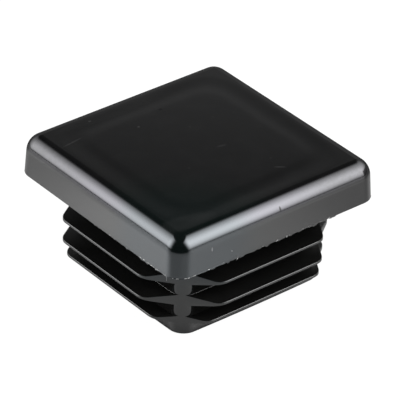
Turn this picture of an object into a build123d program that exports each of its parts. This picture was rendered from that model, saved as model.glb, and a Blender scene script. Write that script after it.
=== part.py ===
from build123d import *
import math
import os

# End cap for square tube, moulded in one piece: a square head, and a hollow
# shank with thin barbed fins that grip the inside of the tube.
# Millimetres and degrees. The origin is the centre of the seat, the flat
# underside of the head that lands on the tube's end. +Z points out of the tube.

# Head
head_side = 30.0            # square over the lower edge, same as the tube's outside
head_height = 5.0
head_draft = 3.0            # lean of the side walls, narrower at the top
head_edge_radius = 2.15     # round of the top edge and of the upright corners
top_skin = 2.8              # solid left between the hollow and the top face

# Hollow core of the shank
core_side = 21.4            # square over the outside of the walls, at their ends
core_crown = 0.17           # how far the middle of each wall stands out
core_corner_radius = 1.9
rim_wall = 1.6              # wall at the open rim
hollow_draft = 1.0          # the hollow narrows towards the head
hollow_corner_radius = 0.8
lead_in = 2.3               # plain core below the tip of the lowest fin

# Fins, one ring of four blades at each level
fin_count = 3
fin_span = 28.2             # over the tips of the upper fins
lead_fin_span = 25.8        # over the tips of the lowest fin, which enters first
first_fin_drop = 3.5        # from the seat to the middle of the first tip
fin_pitch = 2.85
fin_tip = 0.3               # thickness at the tip
fin_top_slope = 1.5         # rise of the upper face towards the core
fin_under_slope = 16.0      # fall of the lower face towards the core
fin_end_angle = 59.0        # turn from the tip line into the trimmed end
fin_end_round = 1.7         # radius of that turn
trim_bite = 0.05            # how deep the trimmed ends run into the core's corner

# Sizes that follow from the ones above
shank_depth = first_fin_drop + (fin_count - 1) * fin_pitch + lead_in
hollow_side = core_side - 2 * rim_wall
core_diagonal = core_side / 2 - (1 - math.sqrt(0.5)) * core_corner_radius


def quarter_turns(shape):
    """The shape and its copies turned 90, 180 and 270 degrees about Z."""
    return [shape.rotate(Axis.Z, 90 * turn) for turn in range(4)]


def head():
    """Drafted square block, rounded everywhere but at its sharp lower edge."""
    block = extrude(Rectangle(head_side, head_side), amount=head_height, taper=head_draft)
    lower, upright, upper = block.edges().group_by(Axis.Z)
    return fillet(upright + upper, head_edge_radius)


def core():
    """Square column with slightly crowned walls and rounded corners."""
    half = core_side / 2
    wall_line = ThreePointArc((-half, -half), (0, -half - core_crown), (half, -half))
    outline = make_face(quarter_turns(wall_line))
    outline = fillet(outline.vertices(), core_corner_radius)
    return extrude(outline, amount=-shank_depth)


def hollow():
    """Space inside the shank, open at the rim and reaching up into the head."""
    outline = Pos(0, 0, -shank_depth) * RectangleRounded(hollow_side, hollow_side, hollow_corner_radius)
    return extrude(outline, amount=shank_depth + head_height - top_skin, taper=hollow_draft)


def fin_plan(span):
    """Outline of one ring of fins: straight tips, with a shallow V at each corner.

    The V's bottom sits just inside the core's rounded corner.
    """
    tip = span / 2
    notch = core_diagonal - trim_bite
    blade_end = notch - (tip - notch) / math.tan(math.radians(fin_end_angle))
    corner = [Vector(tip, blade_end), Vector(notch, notch), Vector(blade_end, tip)]
    points = [point.rotate(Axis.Z, 90 * turn) for turn in range(4) for point in corner]
    outline = make_face(Polyline(*points, close=True))
    turns = [v for v in outline.vertices() if max(abs(v.X), abs(v.Y)) > (tip + notch) / 2]
    return fillet(turns, fin_end_round)


def fin_ring(level, span):
    """Four wedge blades round the core, thin at the tip and thick at the root."""
    tip = span / 2
    root = hollow_side / 2 + rim_wall / 2
    reach = tip - root
    upper = level + fin_tip / 2
    lower = level - fin_tip / 2
    rise = reach * math.tan(math.radians(fin_top_slope))
    fall = reach * math.tan(math.radians(fin_under_slope))
    right_half = [(0, upper + rise), (root, upper + rise), (tip, upper),
                  (tip, lower), (root, lower - fall), (0, lower - fall)]
    left_half = [(-x, z) for x, z in reversed(right_half[1:-1])]
    section = Plane.XZ * make_face(Polyline(*right_half, *left_half, close=True))
    wedge = extrude(section, amount=tip, both=True)
    plan = extrude(Pos(0, 0, level) * fin_plan(span), amount=fin_pitch, both=True)
    return wedge & wedge.rotate(Axis.Z, 90) & plan


def end_cap():
    """Head, core and fins in one moulding, with the hollow taken out."""
    levels = [-first_fin_drop - fin_pitch * row for row in range(fin_count)]
    body = head() + core()
    for level in levels[:-1]:
        body += fin_ring(level, fin_span)
    body += fin_ring(levels[-1], lead_fin_span)
    return body - hollow()


os.makedirs("parts", exist_ok=True)
export_step(end_cap(), "parts/end_cap.step")
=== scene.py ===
import math

import bmesh
import bpy
import numpy as np
from mathutils import Matrix, Vector


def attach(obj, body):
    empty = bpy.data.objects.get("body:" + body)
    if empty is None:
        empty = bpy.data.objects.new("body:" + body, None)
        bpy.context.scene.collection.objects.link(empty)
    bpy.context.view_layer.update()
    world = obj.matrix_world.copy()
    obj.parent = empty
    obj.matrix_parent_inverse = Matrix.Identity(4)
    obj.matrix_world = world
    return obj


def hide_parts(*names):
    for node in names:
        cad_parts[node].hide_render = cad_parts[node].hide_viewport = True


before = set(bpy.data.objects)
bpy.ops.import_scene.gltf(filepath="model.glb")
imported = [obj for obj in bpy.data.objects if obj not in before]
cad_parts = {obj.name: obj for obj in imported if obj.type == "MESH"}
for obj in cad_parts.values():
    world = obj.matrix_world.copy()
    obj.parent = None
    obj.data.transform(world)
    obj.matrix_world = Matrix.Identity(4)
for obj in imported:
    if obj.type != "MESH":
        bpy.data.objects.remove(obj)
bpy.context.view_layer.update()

MM = 0.001

# ================================================================ the moulding
# Millimetres, as in the CAD source. z = 0 is the seat under the head.
HEAD_HALF = 14.98           # half width over the lower edge; the flash stands proud of it
HEAD_HEIGHT = 5.0
HEAD_DRAFT = math.radians(3.0)
HEAD_ROUND = 2.15
HEAD_CORNER = HEAD_ROUND * math.cos(HEAD_DRAFT)
EDGE_ROUND = 2.26           # the rounded edge: main arc, then a tighter one into the top
EDGE_ROUND_TOP = 1.55
EDGE_CHANGE = math.radians(65.0)
TOP_SKIN = 2.8

CORE_HALF = 10.7
CORE_CROWN = 0.17
CORE_ROUND = 2.0
RIM_WALL = 1.6
HOLLOW_DRAFT = math.radians(1.0)
HOLLOW_ROUND = 0.8
SHANK_DEPTH = 11.5

# Height of the tip's middle, span over the tips and slope of the upper face:
# the thin blades droop a little, the first one most
FINS = (
    (-3.49, 28.2, math.tan(math.radians(5.0))),
    (-6.37, 28.2, math.tan(math.radians(2.2))),
    (-9.18, 25.84, math.tan(math.radians(0.5))),
)
FIN_TIP = 0.3
FIN_UNDER_SLOPE = math.tan(math.radians(16.0))
FIN_END_ANGLE = math.radians(59.0)
FIN_END_ROUND = 1.7
TRIM_BITE = 0.05            # the trimmed ends cut this far into the core's corners

# Small forms that only the visual model has
ROOT_ROUND = 0.04           # where a fin grows out of the core,
ROOT_SHARE = 0.3            # and at most this share of the fin's width
TIP_ROUND = 0.07            # along the fins' edges, and at most:
TIP_SHARE = 0.25
RIM_ROUND = 0.18            # along the open rim
SEAT_ROOT = 0.20            # where the core meets the underside of the head
LOWER_EDGE_ROUND = 0.08     # along the head's lower edge
CEILING_ROUND = 0.3         # where the hollow's walls meet its ceiling
CEILING_CORNER = 1.0
SINK_DEPTH = 0.012          # sink mark in the top face, over the walls of the core
SINK_CENTRE = 10.9
SINK_WIDTH = 1.78
SINK_OUTSIDE = 2.3
SINK_SQUARENESS = 7.0
RIM_FALL = 0.003            # the outermost strip of the top falls away a little
RIM_FALL_START = 12.4
RIM_FALL_WIDTH = 0.55

# Flash along the head's lower edge. Places are millimetres along the edge from the
# near corner (-X, -Y): onwards along -Y, backwards along -X
FLASH_HANG = 0.02           # everywhere, and its root lies this far up the wall:
FLASH_RISE = 0.06
FLASH_RIPPLE = 0.7          # strength of its quick unevenness next to the slow one
FLASH_SWELLS = ((0.6, 3), (0.14, 5), (0.3, 11))     # step and seed: slow, quick, breaks
FLASH = (                   # start, end, most it hangs down, stands out, share with the painted highlight
    (0.9, 2.6, 0.04, 0.02, 0.60),
    (2.6, 6.6, 0.07, 0.02, 0.25),
    (3.5, 23.0, 0.17, 0.01, 0.06),
    (-6.4, -2.6, 0.06, 0.02, 0.60),
    (-1.9, 1.1, 0.02, 0.018, 0.30),
    (-15.5, -2.8, 0.08, 0.008, 0.03),
    (-28.0, -2.0, 0.02, 0.0, 0.0),
    (30.0, 86.0, 0.10, 0.006, 0.04),
)
STRETCH_BLEND = 0.35        # over which a stretch of flash begins and ends
TAGS = (                    # ragged tags: place, half width, length, stands out, and whether it has the painted highlight
    (-1.38, 0.06, 0.62, 0.02, True),
    (29.1, 0.22, 0.05, 0.02, False),
    (4.3, 0.06, 0.07, 0.02, False),
    (7.0, 0.16, 0.16, 0.01, False),
    (8.3, 0.06, 0.12, 0.02, True),
    (14.0, 0.06, 0.06, 0.02, True),
    (15.6, 0.07, 0.08, 0.02, True),
    (18.9, 0.07, 0.08, 0.02, True),
    (19.6, 0.12, 0.09, 0.02, False),
    (21.4, 0.12, 0.14, 0.01, False),
    (11.6, 0.2, 0.10, 0.01, False),
    (-3.3, 0.08, 0.06, 0.02, True),
    (-8.6, 0.15, 0.12, 0.01, False),
    (-10.9, 0.12, 0.10, 0.01, False),
    (-5.6, 0.2, 0.09, 0.01, False),
    (-13.8, 0.2, 0.07, 0.01, False),
)
TAG_BLEND = 0.06
# The flash's section: outwards, height, and the shares of standing out and of hanging down
FLASH_SECTION = (
    (-0.008, 0.080, 0.0, 0.0),
    (0.0, 0.030, 1.0, 0.0),
    (-0.006, 0.0, 1.0, 0.35),
    (-0.045, 0.0, 1.0, 1.0),
    (-0.07, 0.0, 0.6, 1.0),
    (-0.09, 0.0, 0.0, 0.5),
    (-0.10, 0.03, 0.0, 0.0),
)
PAINTED_GLINT_BANDS = 3              # bands of the section with the painted highlight on a tag, 1 elsewhere

# Which faces are dull or satin, in millimetres and parts of the normal
HEAD_CLEAR = 0.05           # this close under the head's seat, and this close to the
RIM_CLEAR = 0.3             # open rim, the finish stays glossy
FLAT = 0.9                  # a face is flat where its normal leans up or down this much,
SHANK_INSIDE = 0.3          # and on a fin where it isn't further inside the core than this
SEAT_DULL = 0.5             # this close to the seat a flat face is dull like the core
CORNER_REACH = 0.3          # the core's faces are dull a little way into its corners
ON_CORE = 0.0015
ROOT_LIT = (6.00, 6.13)     # only the middle fin's upper root catches the light
LOWER_ROOTS = 8.5           # the lowest fin's roots are dull, as far as
ROOT_REACH = 0.06
ROOT_TILT = 0.1
DULL_END = 9.05

# ----------------------------------------------------------- how finely it is cut
# Half widths of the rings on the flat top, from the middle outwards
TOP_RINGS = (2.0, 4.0, 6.0, 7.5, 8.5, 9.1, 9.4, 9.7, 10.0, 10.3, 10.6, 10.9, 11.2, 11.5,
             11.8, 12.1, 12.4, 12.6, 12.75, 12.87)
TOP_CORNER_GROWTH = 4.0     # how much rounder the rings' corners are in the middle
EDGE_STEPS_TOP = 9
EDGE_STEPS = 16
WALL_RINGS = 10
SEAT_SHARES = (0.03, 0.35, 0.7)
FIN_SHARES = (0.3, 0.6, 0.9)
LEAD_RINGS = (1.2, 0.6)     # above the rim
RIM_SHARES = (0.05, 0.5, 0.95)
HOLLOW_START = 1.0
HOLLOW_RINGS = 8
CEILING_RINGS = (8.0, 6.0, 4.0, 2.0)
CURVE_POINTS = 160
LINE_POINTS = 400
SIDE_POINTS = 200
LEAST_CORNER = 1e-4
FLASH_CORNER_STEPS = 22
FLASH_SIDE_STEPS = 340
MERGE_DISTANCE = 0.0004     # points this close become one
SHARP_ANGLE = math.radians(38.0)    # from this angle on an edge is shaded as a crease

# =================================================================== the finish
# The third material is a painted highlight on the flash
GLOSS, DULL, PAINTED_GLINT, SATIN = range(4)       # places of the piece's materials
PLASTIC_IOR = 1.5
HEAD_ROUGHNESS = 0.11
HEAD_SHINE = 1.0
HEAD_COLOUR = (0.0022, 0.0023, 0.0025)
DULL_ROUGHNESS = 0.6
DULL_SHINE = 0.04
# Colour of the dull and satin finishes, set lighter than the gloss's: partly painted light that
# lifts the shaded grooves and the fins' flats
DULL_AND_FILL_COLOUR = (0.0058, 0.0058, 0.0055)
SATIN_ROUGHNESS = 0.4
SATIN_SHINE = 1.0
SATIN_START = -0.0055       # metres from the middle towards the far corner
SATIN_FULL = 0.001
# Pale patches painted on the flash: a painted highlight along the head's lower edge
PAINTED_GLINT_TONES = (0.06, 0.6)
PAINTED_GLINT_ROUGHNESS = 0.6
HAZE = 0.0013               # brightness of the faint haze on the plastic
GRAIN = 0.0016
WAVES = 0.0010              # millimetres: slow waves and fine pits of the moulded face
PITS = 0.0006
# Scale and detail of each noise, and for some the range that is spread over 0 to 1
HAZE_NOISE, HAZE_RANGE = (350.0, 4.0), (0.42, 0.70)
GRAIN_NOISE = (6500.0, 1.0)
WAVE_NOISE = (900.0, 3.0)
PIT_NOISE = (7000.0, 2.0)
SCUFF_NOISE, SCUFF_RANGE = (1800.0, 3.0), (0.35, 0.65)
# Noise of the painted highlight on the flash
PAINTED_GLINT_NOISE, PAINTED_GLINT_RANGE = (5000.0, 2.0), (0.35, 0.62)
# Painted bluish sheen: tints of the gloss on the rounded edge, between these heights, and at the
# near corner
EDGE_FOOT = (0.0032, 0.0036)
EDGE_HEAD = (0.00488, 0.00497)
PAINTED_SHEEN_EDGE = (1.0, 0.99, 1.08)
PAINTED_SHEEN_CORNER = (0.93, 0.99, 1.05)
PAINTED_SHEEN_CORNER_REACH = (0.008, 0.013)
# Painted bluish sheen in the plastic's colour round the near corner
PAINTED_SHEEN_COLOUR = (0.0004, 0.0026, 0.0022)
COOL_CENTRE = (-0.015, -0.015, 0.004)
PAINTED_SHEEN_REACH = (0.010, 0.017)
# The rounded edge is scuffed, but not close to the near corner
SCUFF_TINT = (0.77, 0.77, 0.80)
SCUFF_LEAST = 0.7
SCUFF_AWAY = (0.012, 0.026)
# Middle, direction, half length and half width (mm) of nicks that shine less
NICK_TINT = (0.25, 0.25, 0.25)
NICKS = (
    ((0.24, -14.55, 3.9), (0, 0.48, 0.87), 0.34, 0.14),
    ((1.64, 9.15, 5.0), (1, 0.2, 0), 0.26, 0.18),
)
# The same of each worn or hazy spot, with its brightness; the three broad faint ones on the top's
# outer strip are painted reflection
MARKS_AND_SHEEN = (
    ((-11.1, 9.4, 5.0), (3.1, 0.4, 0), 1.7, 0.11, 0.018),
    ((-2.85, 7.55, 5.0), (1, 0, 0), 0.18, 0.14, 0.03),
    ((-6.7, 11.95, 5.0), (1, 0, 0), 0.20, 0.13, 0.03),
    ((2.0, 4.0, 5.0), (1, 1, 0), 0.14, 0.12, 0.014),
    ((5.55, 4.15, 5.0), (1, 0, 0), 0.14, 0.10, 0.010),
    ((5.15, -6.9, 5.0), (1, 0, 0), 0.18, 0.10, 0.012),
    ((-3.75, -3.0, 5.0), (1, 0, 0), 0.14, 0.12, 0.012),
    ((0.5, -0.9, 5.0), (1, 0, 0), 0.14, 0.10, 0.008),
    ((2.3, -1.45, 5.0), (1, -0.2, 0), 0.7, 0.22, 0.009),
    ((4.8, -9.05, 5.0), (1, -0.74, 0), 0.8, 0.10, 0.024),
    # painted reflection: these three broad faint spots lighten the top's outer strip
    ((-11.3, -11.6, 5.0), (1, -0.15, 0), 4.4, 1.4, 0.0055),
    ((-4.0, -12.2, 5.0), (1, 0, 0), 9.0, 1.1, 0.0035),
    ((-3.0, 12.1, 5.0), (1, 0, 0), 8.5, 1.1, 0.0035),
    ((-9.85, -14.85, 2.55), (0, 0, 1), 0.32, 0.045, 0.35),
    ((-7.0, -14.92, 1.25), (0, 0, 1), 0.08, 0.06, 0.35),
)
MARK_EDGE = (0.2, 1.2)      # a mark fades out between these, 1 being its outline

# =================================================================== the studio
# Metres on the floor, which is a glossy pale sheet under the object
FLOOR_HALF = 3.0
FLOOR_ROUGHNESS = 0.3
FLOOR_SHINE = 0.4
FLOOR_TONE = 0.59
# Painted shade: lower tones of the sheet towards the backdrop and far out
FLOOR_TONE_BEHIND = 0.05
FLOOR_TURN = (0.014, 0.036)         # from the one to the other, towards the backdrop
FAR_TONE = 0.06
FAR = (0.08, 0.19)
# Painted pools of light, standing in for the lamps standing close: these spots of the sheet glow.
# Middle, full and gone at, brightness
PAINTED_GLOWS = (
    ((-0.034, 0.008, -0.0115), 0.006, 0.026, 0.70),
    ((-0.010, -0.040, -0.0115), 0.010, 0.026, 0.10),
    ((0.009, -0.036, -0.0115), 0.006, 0.022, 0.08),
)
# Painted shadow: in these spots the sheet's tone is lower. Middle, full and gone at, share of the
# tone that is left
PAINTED_SHADES = (
    ((0.031, -0.032, -0.0115), 0.004, 0.020, 0.40),
)
# Painted shade: further out the sheet gives back less light altogether in these patches
PAINTED_DIMMING = (
    ((0.067, -0.056, -0.0115), 0.018, 0.045, 0.50),
    ((-0.070, 0.070, -0.0115), 0.016, 0.034, 0.78),
)
# The camera sees it mostly as plain white, near the object and further out; the rest
# of what it sees is lit and keeps the shadow
CAMERA_SHARE = 0.93
WHITE_NEAR, WHITE_FAR = 1.06, 1.16
WHITE_TURN = (0.022, 0.045)

AMBIENT = 0.04
HORIZON = (-1.0, 5.0)               # elevations between which the lamps start
# Brightness, and in degrees: where the lamp stands, how it is rolled, its hot spot and
# how fast it fades from there, and where each of its edges is gone and full. The flag
# holds back one corner: gone and full across and along, and the share it lets by
SOFTBOXES = (
    dict(at=(-131.0, 21.0), roll=12.8, strength=10.8, hot=(30.0, 1.5), fade=(33.0, 21.5),
         left=(-62.2, -37.3), right=(40.5, -3.4), bottom=(-25.5, -10.0), top=(36.4, 28.8)),
    dict(at=(40.0, 34.2), roll=0.4, strength=10.8, hot=(-23.3, -0.5), fade=(36.9, 22.5),
         left=(-38.8, 0.8), right=(67.4, 39.9), bottom=(-48.5, -17.0), top=(30.8, 23.4),
         flag=((0.5, 3.5), (-9.0, -14.0), 0.12)),
)
BACKDROP_AZIMUTH = 140
BACKDROP_REACH = (0.3, 0.8)
# Two elevations, and the brightness below and above them: a pale band low on the wall
BACKDROP = (
    (28.6, 33.4, 0.265, 0.0),
    (20.0, 29.0, -0.10, 0.0),
    (36.0, 55.0, 0.02, 0.0),
)

# Radians, millimetres and pixels, fitted to the photograph's edges
CAMERA_AZIMUTH = -0.694
CAMERA_ELEVATION = 0.571
CAMERA_ROLL = 0.030
CAMERA_DISTANCE = 375.773
CAMERA_RIGHT = 0.343
CAMERA_UP = -1.974
FOCAL_PIXELS = 3224.4
IMAGE_PIXELS = 400
SENSOR_WIDTH = 36.0
CAMERA_CLIP = (0.01, 50.0)


# ------------------------------------------------------------------ the outlines
def spread(*pieces):
    """Angles from 0 to 45 degrees: (end, steps) for each stretch, in degrees."""
    out, start = [0.0], 0.0
    for end, steps in pieces:
        out += [start + (end - start) * (k + 1) / steps for k in range(steps)]
        start = end
    return np.radians(out)


def full_turn(eighth):
    """The angles of one eighth, mirrored and turned to the whole circle."""
    side = np.concatenate([-eighth[::-1], eighth[1:]])
    return np.concatenate([side[:-1] + math.pi / 2 * turn for turn in range(4)])


# Closer together at the fins' rounded ends and round the corners
THETA = full_turn(spread((25.0, 14), (32.0, 14), (37.0, 9), (45.0, 26)))
LOCAL = (THETA + math.pi / 4) % (math.pi / 2) - math.pi / 4
LOCAL[np.isclose(LOCAL, -math.pi / 4)] = math.pi / 4
COS, SIN = np.cos(THETA), np.sin(THETA)
ACROSS = np.cos(LOCAL)      # distance from the axis to the side, over the radius


def radius_of(points):
    """Radius at every angle of an outline given over one eighth of a turn."""
    points = np.array(points, float)
    angle = np.arctan2(points[:, 1], points[:, 0])
    radius = np.hypot(points[:, 0], points[:, 1])
    order = np.argsort(angle)
    return np.interp(np.abs(LOCAL), angle[order], radius[order])


def line_points(start, end):
    return [(start[0] + (end[0] - start[0]) * t, start[1] + (end[1] - start[1]) * t)
            for t in np.linspace(0, 1, LINE_POINTS)]


def arc_points(centre, radius, start, end):
    return [(centre[0] + radius * math.cos(t), centre[1] + radius * math.sin(t))
            for t in np.linspace(start, end, CURVE_POINTS)]


def square(half, corner, crown=0.0):
    """A square with rounded corners, its sides crowned by a little."""
    corner = max(corner, LEAST_CORNER)
    straight = half - corner
    side = [(half + crown * (1 - (y / half) ** 2), y)
            for y in np.linspace(0, straight, SIDE_POINTS)]
    lift = crown * (1 - (straight / half) ** 2) * 0.5
    turn = arc_points((straight + lift, straight + lift), corner + lift, 0, math.pi / 4)
    return radius_of(side + turn)


def fin_outline(span):
    """Straight tip, a rounded turn, and the trimmed end running to the corner."""
    tip = span / 2
    core_diagonal = CORE_HALF - (1 - math.sqrt(0.5)) * CORE_ROUND
    notch = core_diagonal - TRIM_BITE
    end = notch - (tip - notch) / math.tan(FIN_END_ANGLE)
    tangent = FIN_END_ROUND * math.tan(FIN_END_ANGLE / 2)
    centre = (tip - FIN_END_ROUND, end - tangent)
    turn = arc_points(centre, FIN_END_ROUND, 0, FIN_END_ANGLE)
    return radius_of(line_points((tip, 0), turn[0]) + turn + line_points(turn[-1], (notch, notch)))


CORE = square(CORE_HALF, CORE_ROUND, CORE_CROWN)
# How far a small quarter round has come across and still has to rise, in four steps
QUARTER = [(1 - math.cos(math.radians(turn)), 1 - math.sin(math.radians(turn)))
           for turn in (0, 30, 60, 90)]
QUARTER_BACK = QUARTER[::-1]


# --------------------------------------------------------- rings, from the top down
# Each ring is a radius and a height at every angle
def flat(z):
    return np.full_like(COS, z)


def top_height(radius):
    """Height of the top face: flat, with a shallow sink over the core's walls."""
    x, y = np.abs(radius * COS), np.abs(radius * SIN)
    reach = (x ** SINK_SQUARENESS + y ** SINK_SQUARENESS) ** (1 / SINK_SQUARENESS)
    width = np.where(reach > SINK_CENTRE, SINK_OUTSIDE, SINK_WIDTH)
    share = np.clip((reach - SINK_CENTRE) / width, -1, 1)
    rim = np.clip((reach - RIM_FALL_START) / RIM_FALL_WIDTH, 0, 1)
    sink = SINK_DEPTH * (0.5 + 0.5 * np.cos(math.pi * share))
    return HEAD_HEIGHT - sink - RIM_FALL * rim ** 2


def edge_profile():
    """Half width and height down the rounded edge, and where the wall starts."""
    step = EDGE_ROUND - EDGE_ROUND_TOP
    centre_z = HEAD_HEIGHT - EDGE_ROUND_TOP - step * math.sin(EDGE_CHANGE)
    wall_top = centre_z + EDGE_ROUND * math.sin(HEAD_DRAFT)
    centre = HEAD_HALF - wall_top * math.tan(HEAD_DRAFT) - EDGE_ROUND * math.cos(HEAD_DRAFT)
    out = []
    for lean in np.linspace(math.pi / 2, EDGE_CHANGE, EDGE_STEPS_TOP)[1:-1]:
        out.append((centre + step * math.cos(EDGE_CHANGE) + EDGE_ROUND_TOP * math.cos(lean),
                    centre_z + step * math.sin(EDGE_CHANGE) + EDGE_ROUND_TOP * math.sin(lean)))
    for lean in np.linspace(EDGE_CHANGE, HEAD_DRAFT, EDGE_STEPS):
        out.append((centre + EDGE_ROUND * math.cos(lean), centre_z + EDGE_ROUND * math.sin(lean)))
    return out, wall_top


def head_rings():
    """Top face, rounded edge, drafted wall and the flat underside."""
    above_round = (HEAD_HEIGHT - HEAD_ROUND) * math.sin(HEAD_DRAFT)
    ball = HEAD_HALF - (HEAD_ROUND + above_round) / math.cos(HEAD_DRAFT)
    rounded, wall_top = edge_profile()
    start = rounded[0][0]
    rings = []
    for half in TOP_RINGS:
        r = square(half, start - ball + TOP_CORNER_GROWTH * (1 - (half / start) ** 2))
        rings.append((r, top_height(r)))
    rings += [(square(half, half - ball), flat(z)) for half, z in rounded]
    for z in np.linspace(wall_top, LOWER_EDGE_ROUND, WALL_RINGS)[1:]:
        rings.append((square(HEAD_HALF - z * math.tan(HEAD_DRAFT), HEAD_CORNER), flat(z)))
    for across, left in QUARTER[1:]:
        rings.append((square(HEAD_HALF - LOWER_EDGE_ROUND * across, HEAD_CORNER),
                      flat(LOWER_EDGE_ROUND * left)))
    outer = square(HEAD_HALF - LOWER_EDGE_ROUND, HEAD_CORNER)
    rings += [(outer + (CORE + SEAT_ROOT - outer) * share, flat(0.0)) for share in SEAT_SHARES]
    rings += [(CORE + SEAT_ROOT * left, flat(-SEAT_ROOT * across)) for across, left in QUARTER]
    return rings


def fin_rings(level, span, top_slope):
    """Down the core, out over a fin, round its edge and back to the core."""
    tip = span / 2
    width = np.maximum(fin_outline(span) - CORE, 0.0)
    root = np.minimum(ROOT_ROUND, ROOT_SHARE * width)
    edge = np.minimum(TIP_ROUND, TIP_SHARE * width)
    foot, rim = CORE + root, CORE + width

    def above(r):
        return level + FIN_TIP / 2 + (tip - r * ACROSS) * top_slope

    def below(r):
        return level - FIN_TIP / 2 - (tip - r * ACROSS) * FIN_UNDER_SLOPE

    between = [foot + (width - root - edge) * share for share in FIN_SHARES]
    turn = rim - edge
    rings = [(CORE + root * across, above(foot) + root * left) for across, left in QUARTER]
    rings += [(r, above(r)) for r in between]
    rings += [(rim - edge * left, above(turn) - edge * across) for across, left in QUARTER]
    rings += [(rim - edge * left, below(turn) + edge * across) for across, left in QUARTER_BACK]
    rings += [(r, below(r)) for r in between[::-1]]
    rings += [(CORE + root * across, below(foot) - root * left) for across, left in QUARTER_BACK]
    return rings


def shank_end_rings():
    """The open rim and the hollow up to its ceiling."""
    floor, ceiling = -SHANK_DEPTH, HEAD_HEIGHT - TOP_SKIN
    half = CORE_HALF - RIM_WALL
    inside, outer = square(half, HOLLOW_ROUND), CORE - RIM_ROUND
    rings = [(CORE, flat(floor + z)) for z in LEAD_RINGS]
    rings += [(CORE - RIM_ROUND * across, flat(floor + RIM_ROUND * left))
              for across, left in QUARTER]
    rings += [(outer + (inside + RIM_ROUND - outer) * share, flat(floor)) for share in RIM_SHARES]
    rings += [(inside + RIM_ROUND * left, flat(floor + RIM_ROUND * across))
              for across, left in QUARTER]
    for z in np.linspace(floor + HOLLOW_START, ceiling - CEILING_ROUND, HOLLOW_RINGS):
        rings.append((square(half - (z - floor) * math.tan(HOLLOW_DRAFT), HOLLOW_ROUND), flat(z)))
    last = half - (ceiling - floor) * math.tan(HOLLOW_DRAFT)
    for across, left in QUARTER[1:]:
        rings.append((square(last - CEILING_ROUND * across, HOLLOW_ROUND),
                      flat(ceiling - CEILING_ROUND * left)))
    rings += [(square(reach, CEILING_CORNER), flat(ceiling)) for reach in CEILING_RINGS]
    return rings


# --------------------------------------------------------------------- the flash
def edge_stations():
    """Points and outward directions round the head's lower edge, from the near corner on."""
    centre = HEAD_HALF - HEAD_CORNER
    steps = FLASH_CORNER_STEPS
    side = [((-centre, -centre), math.radians(a)) for a in np.linspace(-135, -90, steps)[:-1]]
    side += [((x, -centre), -math.pi / 2) for x in np.linspace(-centre, centre, FLASH_SIDE_STEPS)]
    side += [((centre, -centre), math.radians(a)) for a in np.linspace(-90, -45, steps)[1:-1]]
    points, outward = [], []
    for turn in range(4):
        c, d = math.cos(turn * math.pi / 2), math.sin(turn * math.pi / 2)
        for (x, y), a in side:
            nx, ny = math.cos(a), math.sin(a)
            px, py = x + HEAD_CORNER * nx, y + HEAD_CORNER * ny
            points.append((c * px - d * py, d * px + c * py))
            outward.append((c * nx - d * ny, d * nx + c * ny))
    return np.array(points), np.array(outward)


def whole_length(place):
    return place[-1] + (place[1] - place[0])


def uneven(place, step, seed):
    """Smoothly changing numbers between 0 and 1 along the edge."""
    total = whole_length(place)
    count = int(total / step)
    knots = np.random.default_rng(seed).random(count)
    at = place / total * count
    low = at.astype(int) % count
    share = at - np.floor(at)
    share = share * share * (3 - 2 * share)
    return knots[low] * (1 - share) + knots[(low + 1) % count] * share


def stretch(place, start, end, blend):
    """1 between two places along the edge, 0 elsewhere; negative places count backwards."""
    total = whole_length(place)
    middle, half = (start + end) / 2, (end - start) / 2
    off = np.abs((place - middle + total / 2) % total - total / 2)
    return np.clip((half - off) / blend + 0.5, 0, 1)


def flash_shape(place):
    """How far the flash hangs down and stands out, and where it and its tags get the painted
    highlight.
    """
    hang, lip = np.full(len(place), FLASH_HANG), np.zeros(len(place))
    painted_glint, glint_tags = np.zeros(len(place), bool), np.zeros(len(place), bool)
    slow, quick, breaks = (uneven(place, step, seed) for step, seed in FLASH_SWELLS)
    slow = slow ** 2
    for start, end, depth, out, share in FLASH:
        part = stretch(place, start, end, STRETCH_BLEND)
        hang += part * depth * (slow + FLASH_RIPPLE * quick * slow ** 0.5)
        lip = np.maximum(lip, part * out)
        painted_glint |= (part > 0.5) & (breaks < share)
    for at, half, depth, out, white in TAGS:
        part = stretch(place, at - half, at + half, TAG_BLEND)
        hang, lip = hang + part * depth, np.maximum(lip, part * out)
        glint_tags |= (part > 0.5) & white
    return hang, lip, painted_glint, glint_tags


def flash_mesh():
    """Thin uneven flash left on the head's lower edge by the mould's parting line."""
    points, outward = edge_stations()
    steps = np.hypot(*(np.roll(points, -1, axis=0) - points).T)
    place = np.concatenate([[0.0], np.cumsum(steps)[:-1]])
    hang, lip, painted_glint, glint_tags = flash_shape(place)
    verts = []
    for proud, height, with_lip, with_hang in FLASH_SECTION:
        ring = points + outward * (proud + with_lip * lip)[:, None]
        level = height + FLASH_RISE - with_hang * hang
        verts += [(x * MM, y * MM, z * MM) for (x, y), z in zip(ring.tolist(), level.tolist())]
    count, bands = len(points), len(FLASH_SECTION)
    faces = []
    for k in range(bands):
        a, b = k * count, (k + 1) % bands * count
        for i in range(count):
            j = (i + 1) % count
            faces.append((a + i, b + i, b + j, a + j))
    mesh = bpy.data.meshes.new("flash")
    mesh.from_pydata(verts, [], faces)
    mesh.validate()
    for face in mesh.polygons:
        band, at = divmod(face.index, count)
        # The painted highlight goes on the outer band where the flash is chosen for it, and on the
        # first bands of the chosen tags
        if (painted_glint[at] and band == 0) or (glint_tags[at] and band < PAINTED_GLINT_BANDS):
            face.material_index = PAINTED_GLINT
    return mesh


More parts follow.
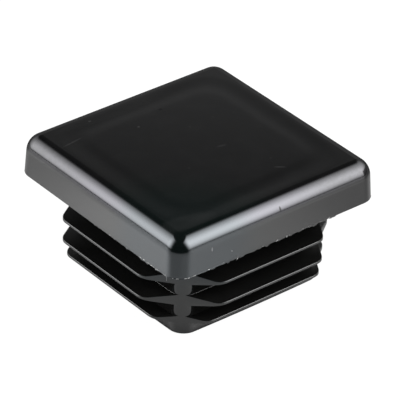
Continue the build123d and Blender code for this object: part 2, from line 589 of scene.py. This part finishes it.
# ---------------------------------------------------------------------- the mesh
def mesh_of_rings(name, rings, top_pole, bottom_pole):
    """One closed mesh through the rings, with a point at each end."""
    count = len(COS)
    verts = [(0.0, 0.0, top_pole * MM)]
    for r, z in rings:
        verts += zip((r * COS * MM).tolist(), (r * SIN * MM).tolist(), (z * MM).tolist())
    verts.append((0.0, 0.0, bottom_pole * MM))
    faces = [(0, 1 + i, 1 + (i + 1) % count) for i in range(count)]
    for k in range(len(rings) - 1):
        a, b = 1 + k * count, 1 + (k + 1) * count
        for i in range(count):
            j = (i + 1) % count
            faces.append((a + i, b + i, b + j, a + j))
    a, end = 1 + (len(rings) - 1) * count, len(verts) - 1
    faces += [(a + i, end, a + (i + 1) % count) for i in range(count)]
    mesh = bpy.data.meshes.new(name)
    mesh.from_pydata(verts, [], faces)
    mesh.validate()
    return mesh


def finish_mesh(mesh, joined):
    """Merges collapsed points, joins the flash, and shades smooth but for the real creases."""
    bm = bmesh.new()
    bm.from_mesh(mesh)
    bmesh.ops.remove_doubles(bm, verts=bm.verts, dist=MERGE_DISTANCE * MM)
    bmesh.ops.dissolve_degenerate(bm, dist=MERGE_DISTANCE * MM, edges=bm.edges)
    bm.from_mesh(joined)
    bmesh.ops.recalc_face_normals(bm, faces=bm.faces)
    for face in bm.faces:
        face.smooth = True
    for edge in bm.edges:
        if len(edge.link_faces) == 2:
            edge.smooth = edge.calc_face_angle(0.0) < SHARP_ANGLE
    bm.to_mesh(mesh)
    bm.free()


def mark_as_moulded(mesh):
    """Satin fins, and the mould's dull finish on the core between them."""
    for face in mesh.polygons:
        x, y, z = (abs(value) / MM for value in face.center)
        if face.center.z > -HEAD_CLEAR * MM or z > SHANK_DEPTH - RIM_CLEAR:
            continue
        along, out, upright = min(x, y), max(x, y), abs(face.normal.z)
        if out > CORE_HALF - SHANK_INSIDE and upright > FLAT:
            face.material_index = DULL if z < SEAT_DULL else SATIN
            continue
        if z > DULL_END:
            continue
        proud = out - CORE_HALF - CORE_CROWN * (1 - (along / CORE_HALF) ** 2)
        lit = ROOT_LIT[0] < z < ROOT_LIT[1]
        on_core = along < CORE_HALF - CORE_ROUND + CORNER_REACH and proud < ON_CORE
        root = z > LOWER_ROOTS and proud < ROOT_REACH and upright > ROOT_TILT
        if (on_core and not lit) or root:
            face.material_index = DULL


def add_object(name, mesh, *materials):
    for material in materials:
        mesh.materials.append(material)
    obj = bpy.data.objects.new(name, mesh)
    bpy.context.scene.collection.objects.link(obj)
    return obj


# ----------------------------------------------------------------- node building
class Nodes:
    """Short hand for building a node tree."""

    def __init__(self, tree):
        self.tree = tree
        tree.nodes.clear()

    def add(self, kind, **values):
        node = self.tree.nodes.new(kind)
        for name, value in values.items():
            setattr(node, name, value)
        return node

    def put(self, socket, value):
        if isinstance(value, bpy.types.NodeSocket):
            self.tree.links.new(value, socket)
        else:
            socket.default_value = value

    def math(self, operation, *values):
        node = self.add("ShaderNodeMath", operation=operation)
        for socket, value in zip(node.inputs, values):
            self.put(socket, value)
        return node.outputs[0]

    def ramp(self, value, low, high, to_low=0.0, to_high=1.0):
        """Smooth step from to_low to to_high between low and high."""
        node = self.add("ShaderNodeMapRange", interpolation_type="SMOOTHSTEP")
        for socket, number in zip(node.inputs, (value, low, high, to_low, to_high)):
            self.put(socket, number)
        return node.outputs["Result"]

    def vector_math(self, operation, vector, fixed):
        node = self.add("ShaderNodeVectorMath", operation=operation)
        self.put(node.inputs[0], vector)
        node.inputs[1].default_value = fixed
        return node.outputs["Value"]

    def dot(self, vector, fixed):
        return self.vector_math("DOT_PRODUCT", vector, fixed)

    def distance(self, vector, fixed):
        return self.vector_math("DISTANCE", vector, fixed)

    def noise(self, vector, scale, detail):
        node = self.add("ShaderNodeTexNoise")
        node.inputs["Scale"].default_value = scale
        node.inputs["Detail"].default_value = detail
        self.put(node.inputs["Vector"], vector)
        return node.outputs["Fac"]

    def mark(self, place, centre, along, long, wide, amount):
        """A small worn spot or scratch, all sizes in millimetres."""
        ahead = Vector(along).normalized()
        middle = Vector(centre) * MM
        off = self.math("SUBTRACT", self.dot(place, ahead), middle.dot(ahead))
        away = self.math("POWER", self.distance(place, middle), 2.0)
        off = self.math("MULTIPLY", off, off)
        aside = self.math("SUBTRACT", away, off)
        total = self.math("ADD", self.math("DIVIDE", off, (long * MM) ** 2),
                          self.math("DIVIDE", aside, (wide * MM) ** 2))
        return self.ramp(total, *MARK_EDGE, amount, 0.0)

    def blend(self, first, second, share):
        """Colour between two colours."""
        node = self.add("ShaderNodeMix", data_type="RGBA")
        self.put(node.inputs["Factor"], share)
        for socket, colour in ((node.inputs[6], first), (node.inputs[7], second)):
            self.put(socket, (*colour, 1) if isinstance(colour, tuple) else colour)
        return node.outputs[2]

    def mix_shaders(self, first, second, share):
        node = self.add("ShaderNodeMixShader")
        self.put(node.inputs["Fac"], share)
        self.put(node.inputs[1], first.outputs[0])
        self.put(node.inputs[2], second.outputs[0])
        return node

    def place(self):
        return self.add("ShaderNodeTexCoord").outputs["Object"]

    def camera_ray(self):
        return self.add("ShaderNodeLightPath").outputs["Is Camera Ray"]

    def surface(self, shader):
        self.put(self.add("ShaderNodeOutputMaterial").inputs["Surface"], shader.outputs[0])


def new_material(name):
    mat = bpy.data.materials.new(name)
    mat.use_nodes = True
    return mat, Nodes(mat.node_tree)


def direction(azimuth, elevation):
    """Unit vector; azimuth 0 is towards -Y, 90 towards +X, as in the views."""
    a, e = math.radians(azimuth), math.radians(elevation)
    return (math.sin(a) * math.cos(e), -math.cos(a) * math.cos(e), math.sin(e))


# ------------------------------------------------------------------- the plastic
def gloss_tint(n, place):
    """Tint of the reflections: a painted bluish sheen on the rounded edge and at the near corner,
    scuffed on the edge, dark in the nicks.
    """
    off_corner = n.distance(place, COOL_CENTRE)
    rise = n.dot(place, (0, 0, 1))
    edge = n.math("MULTIPLY", n.ramp(rise, *EDGE_FOOT), n.ramp(rise, *EDGE_HEAD, 1.0, 0.0))
    near = n.ramp(off_corner, *PAINTED_SHEEN_CORNER_REACH, 1.0, 0.0)
    # painted bluish sheen on the reflections of the rounded edge and near corner
    tint = n.blend(n.blend((1, 1, 1), PAINTED_SHEEN_EDGE, edge), PAINTED_SHEEN_CORNER, near)
    for nick in NICKS:
        tint = n.blend(tint, NICK_TINT, n.mark(place, *nick, 1.0))
    scuffs = n.ramp(n.noise(place, *SCUFF_NOISE), *SCUFF_RANGE, SCUFF_LEAST, 1.0)
    scuffed = n.math("MULTIPLY", n.ramp(off_corner, *SCUFF_AWAY), n.math("MULTIPLY", scuffs, edge))
    return n.blend(tint, SCUFF_TINT, scuffed)


def body_colour(n, place, base, painted_sheen, marks_and_sheen):
    """The plastic's own colour with its faint haze, grain, worn spots and specks, plus a painted
    bluish sheen round the near corner and painted reflection on the top's outer strip.
    """
    # painted bluish sheen round the near corner
    if painted_sheen:
        share = n.ramp(n.distance(place, COOL_CENTRE), *PAINTED_SHEEN_REACH, 1.0, 0.0)
        base = n.blend(base, painted_sheen, share)
    haze = n.ramp(n.noise(place, *HAZE_NOISE), *HAZE_RANGE, 0.0, HAZE)
    tone = n.math("ADD", haze, n.math("MULTIPLY", n.noise(place, *GRAIN_NOISE), GRAIN))
    for mark in marks_and_sheen:
        tone = n.math("ADD", tone, n.mark(place, *mark))
    total = n.add("ShaderNodeVectorMath", operation="ADD")
    n.put(total.inputs[0], base)
    n.put(total.inputs[1], tone)
    return total.outputs[0]


def unevenness(n, place):
    """Normal of a moulded face, with slow waves and fine pits."""
    bump = n.add("ShaderNodeBump")
    bump.inputs["Strength"].default_value = 1.0
    bump.inputs["Distance"].default_value = MM
    waves = n.math("MULTIPLY", n.noise(place, *WAVE_NOISE), WAVES)
    pits = n.math("MULTIPLY", n.noise(place, *PIT_NOISE), PITS)
    n.put(bump.inputs["Height"], n.math("ADD", waves, pits))
    return bump.outputs["Normal"]


def black_plastic(name, roughness, shine, base, painted_sheen=None, marks_and_sheen=()):
    """Black plastic; shine is one value, or two for near the camera's corner and beyond."""
    mat, n = new_material(name)
    place = n.place()
    shader = n.add("ShaderNodeBsdfPrincipled")
    n.surface(shader)
    shader.inputs["IOR"].default_value = PLASTIC_IOR
    shader.inputs["Roughness"].default_value = roughness
    if isinstance(shine, tuple):
        beyond = n.dot(place, direction(BACKDROP_AZIMUTH, 0))
        shine = n.ramp(beyond, SATIN_START, SATIN_FULL, *shine)
    n.put(shader.inputs["Specular IOR Level"], shine)
    n.put(shader.inputs["Specular Tint"], gloss_tint(n, place))
    n.put(shader.inputs["Base Color"], body_colour(n, place, base, painted_sheen, marks_and_sheen))
    n.put(shader.inputs["Normal"], unevenness(n, place))
    return mat


def painted_glint_plastic():
    """Pale patches on the flash's ragged edges: a painted highlight along the head's lower edge."""
    mat, n = new_material("black_plastic_painted_glint")
    shader = n.add("ShaderNodeBsdfPrincipled")
    n.surface(shader)
    shader.inputs["Roughness"].default_value = PAINTED_GLINT_ROUGHNESS
    tone = n.ramp(n.noise(n.place(), *PAINTED_GLINT_NOISE), *PAINTED_GLINT_RANGE, *PAINTED_GLINT_TONES)
    n.put(shader.inputs["Base Color"], tone)
    return mat


def plastics():
    """The piece's materials: gloss, dull, the flash's painted highlight and satin, in that order.
    """
    satin_shine = (DULL_SHINE, SATIN_SHINE)
    return (
        # the gloss carries the painted bluish sheen and the painted reflection on the top's outer
        # strip
        black_plastic("black_plastic", HEAD_ROUGHNESS, HEAD_SHINE, HEAD_COLOUR, PAINTED_SHEEN_COLOUR, MARKS_AND_SHEEN),
        black_plastic("black_plastic_dull", DULL_ROUGHNESS, DULL_SHINE, DULL_AND_FILL_COLOUR),
        # the painted highlight on the flash
        painted_glint_plastic(),
        black_plastic("black_plastic_satin", SATIN_ROUGHNESS, satin_shine, DULL_AND_FILL_COLOUR),
    )


# --------------------------------------------------------------------- the floor
def spot(n, place, centre, full, gone, inside, outside):
    """A round soft spot on the floor."""
    return n.ramp(n.distance(place, centre), full, gone, inside, outside)


def lit_sheet(n, place):
    """The glossy sheet as the object sees it, with painted shade in its tone and painted pools of
    light that glow.
    """
    lit = n.add("ShaderNodeBsdfPrincipled")
    # painted shade: darker towards the backdrop and far out
    towards = n.dot(place, direction(BACKDROP_AZIMUTH, 0))
    tone = n.ramp(towards, *FLOOR_TURN, FLOOR_TONE, FLOOR_TONE_BEHIND)
    tone = n.math("MULTIPLY", tone, spot(n, place, (0, 0, 0), *FAR, 1.0, FAR_TONE))
    # painted shadow in the sheet's tone
    for centre, full, gone, left in PAINTED_SHADES:
        tone = n.math("MULTIPLY", tone, spot(n, place, centre, full, gone, left, 1.0))
    n.put(lit.inputs["Base Color"], tone)
    # painted pools of light: the sheet glows in these spots
    glow = 0.0
    for centre, full, gone, strength in PAINTED_GLOWS:
        glow = n.math("ADD", glow, spot(n, place, centre, full, gone, strength, 0.0))
    lit.inputs["Emission Color"].default_value = (1, 1, 1, 1)
    n.put(lit.inputs["Emission Strength"], glow)
    lit.inputs["Roughness"].default_value = FLOOR_ROUGHNESS
    lit.inputs["Specular IOR Level"].default_value = FLOOR_SHINE
    return lit


def floor_material():
    """Plain white to the camera, with the object's shadow kept; under the white, the sheet has
    painted dimming in patches further out.
    """
    mat, n = new_material("white_sheet")
    place = n.place()
    left_over = 1.0
    # painted shade: the sheet is dimmed as a whole in these patches
    for centre, full, gone, left in PAINTED_DIMMING:
        left_over = n.math("MULTIPLY", left_over, spot(n, place, centre, full, gone, left, 1.0))
    dark = n.add("ShaderNodeBsdfDiffuse")
    dark.inputs["Color"].default_value = (0, 0, 0, 1)
    sheet = n.mix_shaders(dark, lit_sheet(n, place), left_over)
    plain = n.add("ShaderNodeEmission")
    strength = spot(n, place, (0, 0, 0), *WHITE_TURN, WHITE_NEAR, WHITE_FAR)
    n.put(plain.inputs["Strength"], strength)
    share = n.math("MULTIPLY", n.camera_ray(), CAMERA_SHARE)
    n.surface(n.mix_shaders(sheet, plain, share))
    return mat


def add_floor():
    half, z = FLOOR_HALF, -SHANK_DEPTH * MM
    mesh = bpy.data.meshes.new("floor")
    corners = [(-half, -half, z), (half, -half, z), (half, half, z), (-half, half, z)]
    mesh.from_pydata(corners, [], [(0, 1, 2, 3)])
    add_object("floor", mesh, floor_material())


# --------------------------------------------------------------------- the light
def sine(angle):
    return math.sin(math.radians(angle))


def soft_edge(n, angle, gone, full):
    """0 on the one side and 1 on the other of a soft edge between two angles."""
    if gone < full:
        return n.ramp(angle, math.radians(gone), math.radians(full))
    return n.ramp(angle, math.radians(full), math.radians(gone), 1.0, 0.0)


def square_off(n, angle, centre, width):
    off = n.math("DIVIDE", n.math("SUBTRACT", angle, math.radians(centre)), math.radians(width))
    return n.math("MULTIPLY", off, off)


def softbox(n, way, at, roll, strength, hot, fade, left, right, bottom, top, flag=None):
    """Brightness of one lamp in every direction: a soft-edged panel with a hot spot."""
    ahead, level = Vector(direction(*at)), Vector(direction(at[0] + 90.0, 0.0))
    rise = level.cross(ahead) if level.cross(ahead).z > 0 else ahead.cross(level)
    t = math.radians(roll)
    sideways = level * math.cos(t) + rise * math.sin(t)
    upwards = rise * math.cos(t) - level * math.sin(t)
    across = n.math("ARCTAN2", n.dot(way, sideways), n.dot(way, ahead))
    along = n.math("ARCSINE", n.dot(way, upwards))
    off = n.math("ADD", square_off(n, across, hot[0], fade[0]),
                 square_off(n, along, hot[1], fade[1]))
    light = n.math("MULTIPLY", n.math("EXPONENT", n.math("MULTIPLY", off, -0.5)), strength)
    for angle, edge in ((across, left), (across, right), (along, bottom), (along, top)):
        light = n.math("MULTIPLY", light, soft_edge(n, angle, *edge))
    if flag:
        flag_across, flag_along, lets_by = flag
        held = n.math("MULTIPLY", soft_edge(n, across, *flag_across),
                      soft_edge(n, along, *flag_along))
        light = n.math("MULTIPLY", light, n.math("MULTIPLY_ADD", held, lets_by - 1.0, 1.0))
    return light


def add_world():
    """A dim room with two soft lamps and a pale backdrop; plain white to the camera."""
    world = bpy.data.worlds.new("studio")
    bpy.context.scene.world = world
    world.use_nodes = True
    n = Nodes(world.node_tree)
    way = n.add("ShaderNodeTexCoord").outputs["Generated"]
    up = n.dot(way, (0, 0, 1))
    above = n.ramp(up, *(sine(angle) for angle in HORIZON))
    total = AMBIENT
    for lamp in SOFTBOXES:
        total = n.math("MULTIPLY_ADD", above, softbox(n, way, **lamp), total)
    behind = n.ramp(n.dot(way, direction(BACKDROP_AZIMUTH, 0)), *BACKDROP_REACH)
    for low, high, below, beyond in BACKDROP:
        band = n.ramp(up, sine(low), sine(high), below, beyond)
        total = n.math("MULTIPLY_ADD", behind, band, total)
    sky = n.add("ShaderNodeBackground")
    n.put(sky.inputs["Strength"], total)
    plain = n.add("ShaderNodeBackground")
    shown = n.mix_shaders(sky, plain, n.camera_ray())
    n.put(n.add("ShaderNodeOutputWorld").inputs["Surface"], shown.outputs[0])


# -------------------------------------------------------------------- the camera
def add_camera():
    a, e, roll = CAMERA_AZIMUTH, CAMERA_ELEVATION, CAMERA_ROLL
    back = Vector((math.sin(a) * math.cos(e), -math.cos(a) * math.cos(e), math.sin(e)))
    level = Vector((math.cos(a), math.sin(a), 0))
    rise = back.cross(level)
    right = level * math.cos(roll) + rise * math.sin(roll)
    up = rise * math.cos(roll) - level * math.sin(roll)
    place = (back * CAMERA_DISTANCE + right * CAMERA_RIGHT + up * CAMERA_UP) * MM
    data = bpy.data.cameras.new("camera")
    data.sensor_fit = "HORIZONTAL"
    data.sensor_width = SENSOR_WIDTH
    data.lens = SENSOR_WIDTH * FOCAL_PIXELS / IMAGE_PIXELS
    data.clip_start, data.clip_end = CAMERA_CLIP
    obj = bpy.data.objects.new("camera", data)
    bpy.context.scene.collection.objects.link(obj)
    obj.matrix_world = Matrix((
        (right.x, up.x, back.x, place.x),
        (right.y, up.y, back.y, place.y),
        (right.z, up.z, back.z, place.z),
        (0, 0, 0, 1)))
    bpy.context.scene.camera = obj


# ----------------------------------------------------------------------- the cap
def add_cap():
    rings = head_rings()
    for level, span, top_slope in FINS:
        rings += fin_rings(level, span, top_slope)
    rings += shank_end_rings()
    mesh = mesh_of_rings("moulding", rings, HEAD_HEIGHT, HEAD_HEIGHT - TOP_SKIN)
    finish_mesh(mesh, flash_mesh())
    mark_as_moulded(mesh)
    obj = add_object("moulding", mesh, *plastics())
    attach(obj, "root")
    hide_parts("end_cap")


add_camera()
add_world()
add_floor()
add_cap()
bpy.context.scene.view_settings.view_transform = "Standard"
